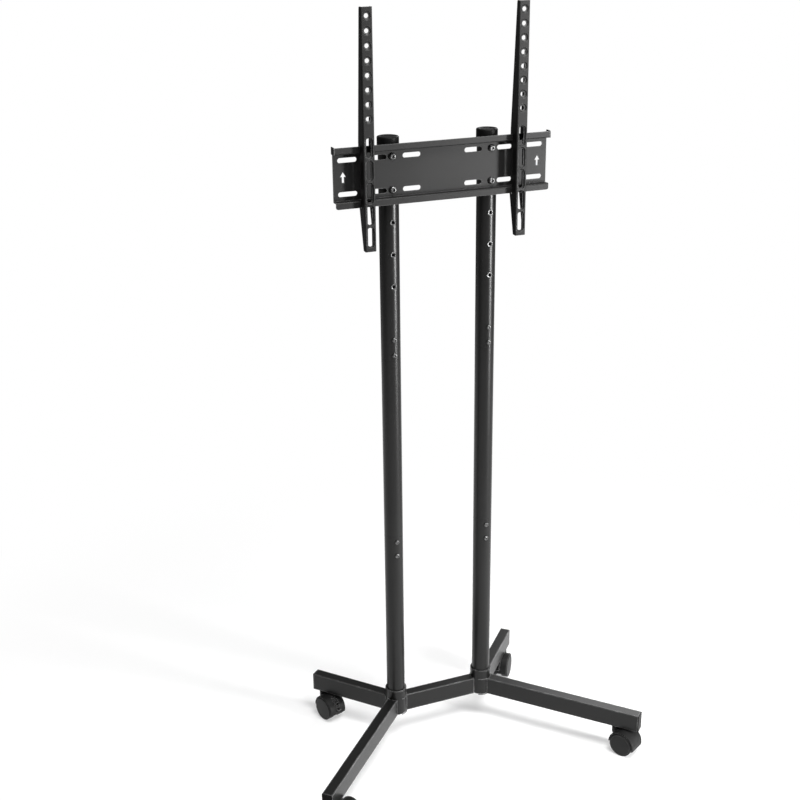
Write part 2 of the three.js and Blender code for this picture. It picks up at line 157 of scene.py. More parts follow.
class Finish(Graph):
    """A material around its shader."""

    def __init__(self, name):
        self.material = bpy.data.materials.new(name)
        self.material.use_nodes = True
        super().__init__(self.material.node_tree)
        self.shader = self.tree.nodes["Principled BSDF"]

    def set(self, **sockets):
        for name, value in sockets.items():
            title = name.replace("_", " ").title().replace("Ior", "IOR")
            self.feed(self.shader.inputs[title], value)

# %% [markdown]
# ## Patterns that every finish shares
#
# Paint, plastic and steel all vary: the tone drifts over a hand's width, the skin has a fine
# grain, and edges are painted lighter, partly as wear and partly as a painted highlight where a
# rounded edge would catch the lamps. All patterns read Object coordinates, which are metres
# here, so one grain is as big on the pole as on the plate, and nothing slides.

# %% Pattern helpers
FINE_BUMP = 1.0
EDGE_TURN = (0.01, 0.10)


def grey(level, warmth=0.0):
    """A grey as linear red, green, blue and alpha, a little warmer than neutral."""
    return (level * (1 + warmth), level, level * (1 - warmth), 1.0)


def noise(finish, scale, detail=2.0, stretch=(1, 1, 1)):
    place = finish.node("ShaderNodeTexCoord", output="Object")
    stretched = finish.node("ShaderNodeMapping", inputs={"Vector": place, "Scale": stretch})
    settings = {"noise_dimensions": "3D"}
    values = {"Vector": stretched, "Scale": scale, "Detail": detail}
    return finish.node("ShaderNodeTexNoise", settings, values)


def mask(finish, value, low, high):
    """0 where value is under low, 1 where it is over high, and a smooth step between."""
    settings = {"interpolation_type": "SMOOTHSTEP", "clamp": True}
    return finish.node("ShaderNodeMapRange", settings, {"Value": value, 1: low, 2: high})


def blend_colour(finish, share, first, second):
    settings = {"data_type": "RGBA"}
    return finish.node("ShaderNodeMix", settings, {0: share, 6: first, 7: second}, output=2)


def bump(finish, height, distance):
    values = {"Height": height, "Distance": distance, "Strength": FINE_BUMP}
    return finish.node("ShaderNodeBump", inputs=values)


def edges(finish, reach):
    """1 along the edges of a shape and 0 on its flats, because rounding only turns edges."""
    here = finish.node("ShaderNodeNewGeometry", output="Normal")
    turned = finish.node("ShaderNodeBevel", {"samples": 6}, {"Radius": reach}, "Normal")
    settings = {"operation": "DOT_PRODUCT"}
    alike = finish.node("ShaderNodeVectorMath", settings, {0: here, 1: turned}, "Value")
    return mask(finish, 1 - alike, *EDGE_TURN)

# %% [markdown]
# ## Powder coat
#
# The tubes and the plate are steel with a fine matt black powder coat. Powder coat is baked
# plastic dust, so it has a faint orange-peel skin and it is not quite black. It could be one
# dark colour, but the tone then looks printed. Here two greys drift into each other, the skin
# is a bump of two noises, and folded or cut edges are painted lighter, partly as wear and partly
# as a painted highlight where a rounded edge would catch the lamps. To find an edge, the Bevel
# node asks how the surface would turn if it were rounded there. The poles get the least of it,
# or their seams would show as light rings.

# %% Powder coat
PAINT_WARMTH = 0.012
TUBE_PAINT = (0.0075, 0.0095, 0.30, 0.30)


def coat(name, dark, light, roughness, shine, skin=0.00007, worn=12.0, reach=0.0016):
    finish = Finish(name)
    cloud = mask(finish, noise(finish, 7, 2), 0.3, 0.7)
    speck = noise(finish, 1900, 1)
    peel = noise(finish, 430, 2)
    patches = mask(finish, noise(finish, 46, 4), 0.45, 0.7)
    edge = edges(finish, reach) * (0.45 + 0.55 * patches)
    scuff = mask(finish, noise(finish, 90, 5, (1, 1, 0.16)), 0.68, 0.76)
    base = blend_colour(finish, cloud, grey(dark, PAINT_WARMTH), grey(light, PAINT_WARMTH))
    # Edges are blended towards a lighter grey: partly wear, partly a painted highlight where a rounded
    # edge would catch the lamps.
    base = blend_colour(finish, edge, base, grey(light * worn))
    base = blend_colour(finish, scuff * 0.3, base, grey(light * 1.5))
    rough = roughness + 0.08 * (speck - 0.5) + 0.05 * scuff - 0.04 * edge
    finish.set(base_color=base, roughness=rough, normal=bump(finish, peel + 0.4 * speck, skin),
               specular_ior_level=shine)
    return finish.material


# All four coats get lighter edges, partly wear and partly a painted highlight; the legs and the bar
# get the most, the poles the least.
tube_coat = coat("tube_powder_coat", *TUBE_PAINT, worn=26.0, reach=0.0030)
pole_coat = coat("pole_powder_coat", *TUBE_PAINT, worn=2.0)
arm_coat = coat("arm_powder_coat", 0.0085, 0.0105, 0.46, 0.15)
plate_coat = coat("plate_powder_coat", 0.009, 0.012, 0.46, 0.20)

# %% [markdown]
# ## Moulded plastic
#
# The caps and the casters are moulded nylon. It is smoother than the paint, with a fine spark
# texture from the mould and a few shallow flow marks, and its rims are painted lighter, a painted
# highlight where a rounded rim would catch the lamps.

# %% Moulded plastic
def plastic(name, dark, light, roughness, shine, rim, spark=0.00005):
    finish = Finish(name)
    cloud = mask(finish, noise(finish, 38, 3), 0.3, 0.7)
    grain = noise(finish, 1500, 2)
    flow = noise(finish, 70, 4, (1, 1, 0.3))
    base = blend_colour(finish, cloud, grey(dark), grey(light))
    # The rims are painted lighter: a painted highlight where a rounded rim would catch the lamps.
    base = blend_colour(finish, edges(finish, 0.0012), base, grey(rim))
    rough = roughness + 0.10 * (flow - 0.5) + 0.05 * (grain - 0.5)
    finish.set(base_color=base, roughness=rough, normal=bump(finish, grain, spark),
               specular_ior_level=shine)
    return finish.material


# The last number of each plastic is the grey of the painted highlight on its rims.
cap_plastic = plastic("cap_plastic", 0.005, 0.007, 0.40, 0.06, 0.13)
caster_plastic = plastic("caster_plastic", 0.009, 0.012, 0.50, 0.17, 0.20)
wheel_nylon = plastic("wheel_nylon", 0.013, 0.016, 0.46, 0.20, 0.11)

# %% [markdown]
# ## Steel that is not painted
#
# The screws and the caster stems are black oxide, a dark skin that stays a little shiny, and
# the inner sleeves and axles are bright zinc. Both are metals, so their colour is in the
# reflection.

# %% Bare steel
def steel(name, dark, light, roughness, metallic):
    finish = Finish(name)
    cloud = mask(finish, noise(finish, 120, 3), 0.35, 0.65)
    turned_lines = noise(finish, 900, 2, (0.2, 0.2, 1))
    base = blend_colour(finish, cloud, grey(dark), grey(light))
    rough = roughness + 0.16 * (turned_lines - 0.5)
    relief = bump(finish, turned_lines, 0.00003)
    finish.set(base_color=base, roughness=rough, metallic=metallic, normal=relief)
    return finish.material


black_screw = steel("black_screw", 0.10, 0.15, 0.30, 0.9)
zinc_steel = steel("zinc_steel", 0.42, 0.56, 0.30, 1.0)

# %% Give every CAD node its finish
SLOT_OF = {
    "wall_plate": ("plate_powder_coat", plate_coat),
    "tv_arm": ("tube_powder_coat", arm_coat),
    "pole_tube": ("tube_powder_coat", pole_coat),
    "pole_cap": ("cap_plastic", cap_plastic),
    "leg_end_cap": ("cap_plastic", cap_plastic),
    "joint_screw": ("black_screw", black_screw),
    "plate_bolt": ("black_screw", black_screw),
    "joint_sleeve": ("zinc_steel", zinc_steel),
    "caster_stem": ("black_screw", black_screw),
    "caster_axle": ("zinc_steel", zinc_steel),
    "caster_hood": ("caster_plastic", caster_plastic),
    "caster_brake_lever": ("caster_plastic", caster_plastic),
    "caster_wheel": ("wheel_nylon", wheel_nylon),
}


def finish_of(node):
    found = [pair for start, pair in SLOT_OF.items() if node.startswith(start)]
    return found[0] if found else ("tube_powder_coat", tube_coat)


for name, node in nodes.items():
    node.data.materials.clear()
    node.data.materials.append(finish_of(name)[1])

# %% [markdown]
# ## Tools that work like hands
#
# Each new piece is modelled the way it would be in the viewport: add a primitive, go into edit
# mode, pick some faces or edges by where they are, then extrude, scale or bevel them. The
# helpers below only shorten that. Everything is deselected first, because an operator acts on
# all that is selected.

# %% Select, enter and leave
def mm(value):
    """Millimetres as metres."""
    return value / 1000


def choose(*pieces):
    bpy.ops.object.select_all(action="DESELECT")
    for piece in pieces:
        piece.select_set(True)
    bpy.context.view_layer.objects.active = pieces[0]


def added(name, primitive, **settings):
    """Add a primitive, name it and put its place into its mesh."""
    bpy.ops.object.select_all(action="DESELECT")
    primitive(**settings)
    piece = bpy.context.object
    piece.name = piece.data.name = name
    choose(piece)
    bpy.ops.object.transform_apply(location=True, rotation=True, scale=True)
    return piece


def pick(piece, kind, test):
    """In edit mode, select what passes a test of its middle and its direction."""
    choose(piece)
    bpy.ops.object.mode_set(mode="EDIT")
    bpy.ops.mesh.select_mode(type=kind)
    bpy.ops.mesh.select_all(action="DESELECT")
    mesh = bmesh.from_edit_mesh(piece.data)
    if kind == "FACE":
        for face in mesh.faces:
            face.select = test(face.calc_center_median(), face.normal)
    elif kind == "EDGE":
        for edge in mesh.edges:
            one, two = (point.co for point in edge.verts)
            edge.select = test((one + two) / 2, (two - one).normalized())
    else:
        for point in mesh.verts:
            point.select = test(point.co, None)
    mesh.select_flush_mode()
    bmesh.update_edit_mesh(piece.data)


def done():
    bpy.ops.object.mode_set(mode="OBJECT")


def closed():
    """Turn every face outwards and leave edit mode."""
    bpy.ops.mesh.select_all(action="SELECT")
    bpy.ops.mesh.normals_make_consistent(inside=False)
    done()


# %% [markdown]
# ## Turned pieces
#
# Caps, screws, sockets and wheels are all round. A round piece starts as a filled circle, and
# each ring of its outline is one extrude and one scale, as on a lathe. A ring list is easy to
# read from the outline, and the last face closes the piece.

# %% Turn a piece from its rings
def turn_up(name, rings, steps=64):
    """Rings are [radius, height]; the first and the last stay closed by a face."""
    radius, height = rings[0]
    piece = added(name, bpy.ops.mesh.primitive_circle_add, vertices=steps, radius=radius,
                  fill_type="NGON", location=(0, 0, height))
    bpy.ops.object.mode_set(mode="EDIT")
    bpy.ops.mesh.select_mode(type="FACE")
    bpy.ops.mesh.select_all(action="SELECT")
    for wide, high in rings[1:]:
        rise = {"value": (0, 0, high - height)}
        bpy.ops.mesh.extrude_region_move(TRANSFORM_OT_translate=rise)
        grow = wide / radius
        bpy.ops.transform.resize(value=(grow, grow, 1), center_override=(0, 0, 0))
        radius, height = wide, high
    closed()
    return piece


def rounded(radius, height, bend, steps=4):
    """Ring points of a rounded corner that ends at this radius and this height."""
    angles = [math.pi / 2 * i / steps for i in range(steps + 1)]
    return [(radius - bend * (1 - math.cos(a)), height - bend * (1 - math.sin(a)))
            for a in angles]


# %% [markdown]
# ## Outlines, cutters and soft edges
#
# Folded and moulded pieces start as an outline: one point is extruded round it, the loop is
# filled and the face is extruded to its depth. Holes are cut with a Boolean, with all cutters
# joined into one object, because one exact cut is cleaner than many. A small bevel by angle
# then gives each edge the bend or the broken edge that catches the light.

# %% Extrude an outline
def lone_point(name, place):
    """A piece of one point, left in edit mode."""
    piece = added(name, bpy.ops.mesh.primitive_plane_add, size=0.01, location=place)
    bpy.ops.object.mode_set(mode="EDIT")
    bpy.ops.mesh.select_mode(type="VERT")
    bpy.ops.mesh.select_all(action="SELECT")
    bpy.ops.mesh.merge(type="CENTER")
    return piece


def draw_path(points):
    for here, there in zip(points, points[1:]):
        step = {"value": tuple(b - a for a, b in zip(here, there))}
        bpy.ops.mesh.extrude_vertices_move(TRANSFORM_OT_translate=step)


def extruded(name, points, depth):
    """A closed outline of 3-D points, extruded by a vector."""
    piece = lone_point(name, points[0])
    draw_path([*points, points[0]])
    bpy.ops.mesh.select_all(action="SELECT")
    bpy.ops.mesh.remove_doubles(threshold=0.000001)
    bpy.ops.mesh.edge_face_add()
    bpy.ops.mesh.extrude_region_move(TRANSFORM_OT_translate={"value": depth})
    closed()
    return piece


def block(name, low, high):
    place = [(a + b) / 2 for a, b in zip(low, high)]
    size = [b - a for a, b in zip(low, high)]
    return added(name, bpy.ops.mesh.primitive_cube_add, size=1, location=place, scale=size)


# %% Cut, join and soften
TURN_TO_Y = (math.pi / 2, 0, 0)


def rod(radius, low, high, axis="Z", steps=32, far_radius=None):
    """A straight cutter along Y or Z between two points on its axis."""
    low, high = Vector(low), Vector(high)
    turn = TURN_TO_Y if axis == "Y" else (0, 0, 0)
    wide = radius if far_radius is None else far_radius
    first, last = (wide, radius) if axis == "Y" else (radius, wide)
    return added("cutter", bpy.ops.mesh.primitive_cone_add, vertices=steps, rotation=turn,
                 radius1=first, radius2=last, depth=(high - low).length, location=(low + high) / 2)


def stretched(cutter, centre, reach, axis):
    """Pull a round cutter apart into a slot, half of its length each way."""
    for side in (-1, 1):
        pick(cutter, "VERT", lambda place, _: (place[axis] - centre) * side > 1e-7)
        move = [0, 0, 0]
        move[axis] = side * reach / 2
        bpy.ops.transform.translate(value=move)
        done()
    return cutter


def applied(piece, kind, **settings):
    modifier = piece.modifiers.new(kind.lower(), kind)
    for name, value in settings.items():
        setattr(modifier, name, value)
    choose(piece)
    bpy.ops.object.modifier_apply(modifier=modifier.name)
    return piece


def carve(piece, cutters, operation="DIFFERENCE"):
    choose(*cutters)
    if len(cutters) > 1:
        bpy.ops.object.join()
    tool = bpy.context.object
    applied(piece, "BOOLEAN", operation=operation, solver="EXACT", object=tool)
    bpy.data.objects.remove(tool, do_unlink=True)
    return piece


def smooth(piece, angle=32):
    choose(piece)
    bpy.ops.object.shade_smooth_by_angle(angle=math.radians(angle))
    return applied(piece, "WEIGHTED_NORMAL", keep_sharp=True)


def soften(piece, width, segments=2, angle=35):
    applied(piece, "BEVEL", width=width, segments=segments, limit_method="ANGLE",
            angle_limit=math.radians(angle), use_clamp_overlap=True)
    return smooth(piece)


def bevelled(piece, width, segments, test):
    """Bevel the edges that pass a test, as in edit mode."""
    pick(piece, "EDGE", test)
    bpy.ops.mesh.bevel(offset=width, segments=segments, affect="EDGES")
    done()


# %% Copy, place and dress
def copied(piece, name, place=None):
    """A copy with its own mesh, moved by a matrix that goes into the mesh."""
    choose(piece)
    bpy.ops.object.duplicate()
    twin = bpy.context.object
    twin.name = twin.data.name = name
    return placed(twin, place) if place else twin


def placed(piece, place):
    piece.matrix_world = place
    choose(piece)
    bpy.ops.object.transform_apply(location=True, rotation=True, scale=True)
    return piece


def dress(piece, body, like, *replaced):
    """Give a piece the finish of a kind of CAD node, let it ride on a body, and hide the CAD nodes it
    replaces.
    """
    slot, finish = finish_of(like)
    piece.data.materials.clear()
    piece.data.materials.append(finish)
    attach(piece, body)
    if replaced:
        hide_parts(*replaced)
    return piece


def middle(node):
    low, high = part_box(node)
    return (low + high) / 2


def half_size(node, axis=0):
    low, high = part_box(node)
    return (high[axis] - low[axis]) / 2


SIDES = ("left", "right")
POLE = {side: middle(f"base_socket_{side}") for side in SIDES}
AT_LEFT = Matrix.Translation((POLE["left"].x, POLE["left"].y, 0))
ACROSS = Matrix.Translation((POLE["right"].x - POLE["left"].x, 0, 0))
print("poles stand", round(POLE["right"].x - POLE["left"].x, 4), "m apart")


def dress_both(left, name, node):
    """Copy a left piece to the right pole, and let the two replace the pair of CAD nodes."""
    dress(copied(left, name + "_right", ACROSS), "frame", node, node + "_right")
    dress(left, "frame", node, node + "_left")


# %% [markdown]
# ## Poles
#
# Each pole is three steel tubes on inner sleeves. A CAD tube has 32 flat sides, which show as
# facets, so a tube with 96 sides takes its place. It starts as an open cylinder, is sliced
# near each hole so that the cut only touches short faces, gets its wall from Solidify, and is
# then drilled. The left pole is made and copied across.

# %% Pole tubes
TUBE_SIDES = 96
TUBE_WALL = mm(1.5)
BROKEN_EDGE, PRESSED_EDGE = mm(0.35), mm(0.3)
tube_radius = half_size("pole_tube_middle_left")
top_bolt, low_bolt = middle("plate_bolt_top_left").z, middle("plate_bolt_bottom_left").z
HOLE_RADIUS = {"height": mm(5), "joint": mm(2.8)}
height_holes = [top_bolt - i * (top_bolt - low_bolt) for i in range(5)]


def joint_holes(level):
    return [middle(f"joint_screw_{level}_left_{i}").z for i in (1, 2)]


def pole_tube(level, drilled):
    """One tube of the left pole; drilled is a list of [height, radius]."""
    low, high = (corner.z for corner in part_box(f"pole_tube_{level}_left"))
    axis = POLE["left"]
    piece = added(f"tube_{level}_left", bpy.ops.mesh.primitive_cylinder_add,
                  vertices=TUBE_SIDES, radius=tube_radius, depth=high - low,
                  end_fill_type="NOTHING", location=(axis.x, axis.y, (low + high) / 2))
    for height, radius in drilled:
        for side in (-1, 1):
            cut_at = (axis.x, axis.y, height + side * (radius + mm(1.5)))
            bpy.ops.object.mode_set(mode="EDIT")
            bpy.ops.mesh.select_all(action="SELECT")
            bpy.ops.mesh.bisect(plane_co=cut_at, plane_no=(0, 0, 1))
            done()
    applied(piece, "SOLIDIFY", thickness=TUBE_WALL, offset=-1)
    if drilled:
        carve(piece, [rod(radius, (axis.x, axis.y - mm(30), height), (axis.x, axis.y, height), "Y")
                      for height, radius in drilled])
    return soften(piece, BROKEN_EDGE)


drilling = {
    "lower": [(z, HOLE_RADIUS["joint"]) for z in joint_holes("lower")],
    "middle": [],
    "upper": [(z, HOLE_RADIUS["height"]) for z in height_holes]
    + [(z, HOLE_RADIUS["joint"]) for z in joint_holes("upper")],
}
for level, drilled in drilling.items():
    left = pole_tube(level, drilled)
    dress_both(left, "tube_" + level, "pole_tube_" + level)
    print(level, "tube", len(left.data.polygons), "faces")

# %% [markdown]
# ## Pole caps
#
# A plastic cap slips over the top of each tube like a lid. Its edge is rounded and its top is
# a shallow dish, which shows as a bright ring from above. All of that is one turned outline,
# from the ceiling inside, down and round the skirt, to the dish.

# %% Pole caps
CAP_ROUND, CAP_DISH = mm(2.6), mm(1.1)
cap_low, cap_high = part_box("pole_cap_left")
cap_radius = half_size("pole_cap_left")
bore = tube_radius + mm(0.3)
tube_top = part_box("pole_tube_upper_left")[1].z
rings = [(bore, tube_top + mm(0.3)), (bore, cap_low.z), (cap_radius - mm(0.3), cap_low.z),
         (cap_radius, cap_low.z + mm(0.3))]
rings += rounded(cap_radius, cap_high.z, CAP_ROUND, steps=6)
rings += [(mm(15.6), cap_high.z), (mm(14.6), cap_high.z - CAP_DISH * 0.45),
          (mm(13.2), cap_high.z - CAP_DISH * 0.9), (mm(10), cap_high.z - CAP_DISH),
          (mm(0.5), cap_high.z - CAP_DISH)]
cap = smooth(turn_up("cap_left", rings, TUBE_SIDES), 40)
placed(cap, AT_LEFT)
dress_both(cap, "cap", "pole_cap")
print("cap", round(cap_radius * 2000, 1), "mm wide")

# %% [markdown]
# ## Screws and bolts
#
# Small button-head screws pin the tube joints, and larger ones hold the plate. Both have a
# domed head with a hex socket. The head is turned standing up, the socket is cut with a
# six-sided rod, and a turn about X lays the screw down with its head to the front.

# %% Screws and bolts
DOME_RIM = 0.28
JOINT_HEAD, BOLT_HEAD, BOLT_SEAT = mm(2.4), mm(4.2), mm(4.5)


def button_screw(name, head, dome, shank, length, hex_radius, hex_depth):
    flat = hex_radius + mm(0.5)
    rings = [(shank, -length), (shank, 0), (head - mm(0.2), 0), (head, mm(0.25)),
             (head, dome * DOME_RIM)]
    for i in range(1, 7):
        angle = math.pi / 2 * i / 6
        rings.append((flat + (head - flat) * math.cos(angle),
                      dome * (DOME_RIM + (1 - DOME_RIM) * math.sin(angle))))
    screw = turn_up(name, rings, 40)
    carve(screw, [rod(hex_radius, (0, 0, dome - hex_depth), (0, 0, dome + mm(2)), steps=6)])
    return soften(screw, mm(0.15), angle=50)


def lay_at(place):
    return Matrix.Translation(place) @ Matrix.Rotation(math.pi / 2, 4, "X")


joint_screw = button_screw("joint_screw_pattern", mm(4.75), JOINT_HEAD, mm(2.4), mm(11),
                           mm(2.1), mm(1.5))
plate_bolt = button_screw("plate_bolt_pattern", mm(6.5), BOLT_HEAD, mm(3.9), mm(15),
                          mm(3.3), mm(2.6))
for name in [name for name in nodes if name.startswith(("joint_screw", "plate_bolt"))]:
    low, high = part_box(name)
    pattern, dome = (joint_screw, JOINT_HEAD) if "joint" in name else (plate_bolt, BOLT_SEAT)
    seat = Vector(((low.x + high.x) / 2, low.y + dome, (low.z + high.z) / 2))
    dress(copied(pattern, name + "_turned", lay_at(seat)), "frame", name, name)
bpy.data.objects.remove(joint_screw)
bpy.data.objects.remove(plate_bolt)

# %% Rivet nuts in the free height holes
NUT_RIM, NUT_BORE = mm(5.5), mm(3.1)
nut = turn_up("nut_pattern", [
    (mm(4.6), mm(-9)), (mm(4.6), mm(-0.8)), (NUT_RIM, mm(-0.8)), (NUT_RIM, mm(0.15)),
    (NUT_RIM - mm(0.15), mm(0.35)), (NUT_RIM - mm(0.5), mm(0.45)),
    (NUT_BORE + mm(0.7), mm(0.45)), (NUT_BORE + mm(0.15), mm(0.15)), (NUT_BORE, mm(-0.5)),
    (NUT_BORE, mm(-8))], 40)
smooth(nut, 40)
for side in SIDES:
    for i, height in enumerate(height_holes[2:]):
        seat = Vector((POLE[side].x, POLE[side].y - tube_radius, height))
        dress(copied(nut, f"rivet_nut_{side}_{i + 1}", lay_at(seat)), "frame", "joint_screw")
bpy.data.objects.remove(nut)
print("height holes", [round(z, 4) for z in height_holes])

# %% [markdown]
# ## Wall plate
#
# The plate is one sheet of steel, folded four times: an upward rail above and a downward rail
# below. So it is drawn as a fold line, a path of points along the middle of the sheet. The
# path is extruded along the plate, the four folds are bevelled into bends, Solidify gives the
# sheet its thickness, and the slots, holes and arrows are punched last, as in a press.

# %% The folded sheet
SHEET, BEND, PLATE_CORNER = mm(2), mm(1.7), mm(4)
plate_low, plate_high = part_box("wall_plate")
stop_sheet = mm(2)
half_plate = (plate_high.x - plate_low.x) / 2 - stop_sheet
plate_x = (plate_high.x + plate_low.x) / 2
face_y, lip_y = plate_high.y - SHEET / 2, plate_low.y + SHEET / 2
top_shelf, low_shelf = top_bolt + mm(13), low_bolt - mm(13)
rail_top = top_bolt + mm(24.5)
fold = [(lip_y, rail_top), (lip_y, top_shelf), (face_y, top_shelf), (face_y, low_shelf),
        (lip_y, low_shelf), (lip_y, plate_low.z)]
plate = lone_point("folded_plate", (plate_x - half_plate, *fold[0]))
draw_path([(plate_x - half_plate, *point) for point in fold])
bpy.ops.mesh.select_mode(type="EDGE")
bpy.ops.mesh.select_all(action="SELECT")
along_plate = {"value": (2 * half_plate, 0, 0)}
bpy.ops.mesh.extrude_region_move(TRANSFORM_OT_translate=along_plate)
done()
folds = [Vector((plate_x, y, z)) for y, z in fold[1:-1]]
bevelled(plate, BEND, 5,
         lambda place, way: any((place - spot).length < mm(0.1) for spot in folds))
applied(plate, "SOLIDIFY", thickness=SHEET, offset=0)
bevelled(plate, PLATE_CORNER, 5,
         lambda place, way: abs(way.y) > 0.9 and place.z < plate_low.z + mm(0.1))
print("plate", round(2 * half_plate, 4), "m long")

# %% Punch the slots, holes and arrows
SLOT_HEIGHT = mm(9)
SLOT_PLACES = [(mm(62), mm(35.5)), (mm(126.5), mm(30.5)), (mm(187.5), mm(37))]
BOLT_HOLE = mm(5.5)
ARROW_X, ARROW_HALF_HEAD, ARROW_HALF_STEM = mm(196), mm(5.5), mm(2.2)
ARROW_TALL, ARROW_HEAD_TALL = mm(19.5), mm(9)
front, back = plate_low.y - mm(5), plate_high.y + mm(5)


def punch(x, z, radius, reach=0.0):
    cutter = rod(radius, (x, front, z), (x, back, z), "Y")
    return stretched(cutter, x, reach, 0) if reach else cutter


punches = []
for z in (top_bolt, low_bolt):
    for side, name in ((-1, "left"), (1, "right")):
        punches.append(punch(POLE[name].x, z, BOLT_HOLE))
        for centre, length in SLOT_PLACES:
            punches.append(punch(plate_x + side * centre, z, SLOT_HEIGHT / 2,
                                 length - SLOT_HEIGHT))
arrow_low = (top_bolt + low_bolt - ARROW_TALL) / 2
shoulder, tip = arrow_low + ARROW_TALL - ARROW_HEAD_TALL, arrow_low + ARROW_TALL
for side in (-1, 1):
    x = plate_x + side * ARROW_X
    arrow = [(x - ARROW_HALF_STEM, arrow_low), (x + ARROW_HALF_STEM, arrow_low),
             (x + ARROW_HALF_STEM, shoulder), (x + ARROW_HALF_HEAD, shoulder), (x, tip),
             (x - ARROW_HALF_HEAD, shoulder), (x - ARROW_HALF_STEM, shoulder)]
    punches.append(extruded("cutter", [(a, front, b) for a, b in arrow], (0, back - front, 0)))
carve(plate, punches)
soften(plate, PRESSED_EDGE)
dress(plate, "frame", "wall_plate", "wall_plate")
print("plate faces", len(plate.data.polygons))

# %% [markdown]
# ## End stops
#
# A small upright sheet closes each end of the upper rail, so an arm can't slide off. Its front
# top corner is rounded. It is a block with one bevelled corner, copied to the other end.

# %% End stops
stop_low = (plate_high.x - stop_sheet, plate_low.y, top_shelf - SHEET / 2)
stop = block("end_stop_right", stop_low, (plate_high.x, plate_high.y, plate_high.z))
bevelled(stop, PLATE_CORNER, 6, lambda place, way: abs(way.x) > 0.9
         and place.z > top_shelf and place.y < face_y - mm(5))
soften(stop, PRESSED_EDGE)
other_end = Matrix.Translation((plate_low.x - plate_high.x + stop_sheet, 0, 0))
dress(copied(stop, "end_stop_left", other_end), "frame", "wall_plate")
dress(stop, "frame", "wall_plate")

# %% [markdown]
# ## Television arms
#
# Each arm is a folded channel. Its two flanges deepen from a narrow tip to a hook that sits on
# the upper rail, and the face has round holes and long slots, each pressed in to a shallow
# dish so that a bolt head sits below the face. The side outline is extruded across the arm,
# the front edges are bevelled into bends, and a block cut from behind leaves a channel. Cups
# are then added behind the face and hollowed from the front before the holes are drilled.

# %% The channel
ARM_BEND, HOOK_RISE, HOOK_DROP, SEAT = mm(2.4), mm(8), mm(9), mm(0.3)
TIP_DEPTH, TIP_CORNER, LOWER_STEP = mm(9), mm(1.8), mm(1.5)
arm_low, arm_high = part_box("tv_arm_left")
arm_x, arm_half = (arm_low.x + arm_high.x) / 2, half_size("tv_arm_left")
rail_front = plate_low.y
hook_back, lip_top = arm_high.y, rail_top + SEAT
side_outline = [
    (arm_low.y, arm_low.z), (arm_low.y + TIP_DEPTH, arm_low.z),
    (hook_back, plate_low.z - LOWER_STEP), (rail_front - SEAT, plate_low.z - LOWER_STEP),
    (rail_front - SEAT, lip_top), (rail_front + SHEET + SEAT, lip_top),
    (rail_front + SHEET + SEAT, lip_top - HOOK_DROP), (hook_back, lip_top - HOOK_DROP),
    (hook_back, lip_top + HOOK_RISE), (arm_low.y + TIP_DEPTH, arm_high.z),
    (arm_low.y, arm_high.z)]
arm = extruded("arm_left", [(arm_x - arm_half, y, z) for y, z in side_outline],
               (2 * arm_half, 0, 0))
bevelled(arm, ARM_BEND, 5,
         lambda place, way: abs(way.z) > 0.99 and place.y < arm_low.y + mm(0.1))
bevelled(arm, TIP_CORNER, 3, lambda place, way: abs(way.y) > 0.9
         and (place.z < arm_low.z + mm(0.1) or place.z > arm_high.z - mm(0.1)))
inside = block("cutter", (arm_x - arm_half + SHEET, arm_low.y + SHEET, arm_low.z - mm(5)),
               (arm_x + arm_half - SHEET, arm_high.y + mm(5), arm_high.z + mm(5)))
carve(arm, [inside])
print("arm", round(arm_high.z - arm_low.z, 4), "m tall")

# %% The pressed dishes and the holes
DISH = {"hole": (mm(8.1), mm(5.0), mm(2.2)), "slot": (mm(8.2), mm(5.6), mm(3.2))}
CUP_WALL = mm(1.0)
CUP_GROW = CUP_WALL - mm(0.5)
ARM_HOLES = [arm_high.z - mm(15) - i * mm(25) for i in range(8)]
ARM_SLOTS = [arm_high.z - mm(241.3) - i * mm(40.3) for i in range(5)]
SLOT_PULL, DISH_PULL = mm(25), mm(23.4)


def dish(kind, z, grow, far, pull):
    """A tapered plug from the face backwards, round or pulled into a slot."""
    wide, narrow, deep = DISH[kind]
    start, end = arm_low.y - mm(0.01) + (SHEET / 2 if grow else 0), arm_low.y + deep + far
    lean = (wide - narrow) / deep
    first = wide + grow - lean * (start - arm_low.y)
    last = wide + grow - lean * (end - arm_low.y)
    plug = rod(first, (arm_x, start, z), (arm_x, end, z), "Y", far_radius=last)
    return stretched(plug, z, pull, 2) if pull else plug


spots = [("hole", z, 0) for z in ARM_HOLES] + [("slot", z, DISH_PULL) for z in ARM_SLOTS]
for apart in (spots[::2], spots[1::2]):
    carve(arm, [dish(kind, z, CUP_GROW, CUP_WALL, pull) for kind, z, pull in apart], "UNION")
carve(arm, [dish(kind, z, 0, 0, pull) for kind, z, pull in spots])
drill = []
for kind, z, pull in spots:
    radius, reach = (mm(4), 0) if kind == "hole" else (mm(4.75), SLOT_PULL)
    bit = rod(radius, (arm_x, arm_low.y - mm(3), z), (arm_x, arm_low.y + mm(9), z), "Y")
    drill.append(stretched(bit, z, reach, 2) if reach else bit)
carve(arm, drill)
soften(arm, PRESSED_EDGE)
to_right = Matrix.Translation((middle("tv_arm_right").x - arm_x, 0, 0))
dress(copied(arm, "arm_right", to_right), "tv_arm_right", "tv_arm", "tv_arm_right")
dress(arm, "tv_arm_left", "tv_arm", "tv_arm_left")
print("arm faces", len(arm.data.polygons))

# %% [markdown]
# ## Sockets
#
# A short steel cup stands at the foot of each pole, and the legs are welded to it. It is one
# turned outline with a rounded rim, from the floor of the cup outside, over the rim and down
# inside to the floor that the tube stands on.

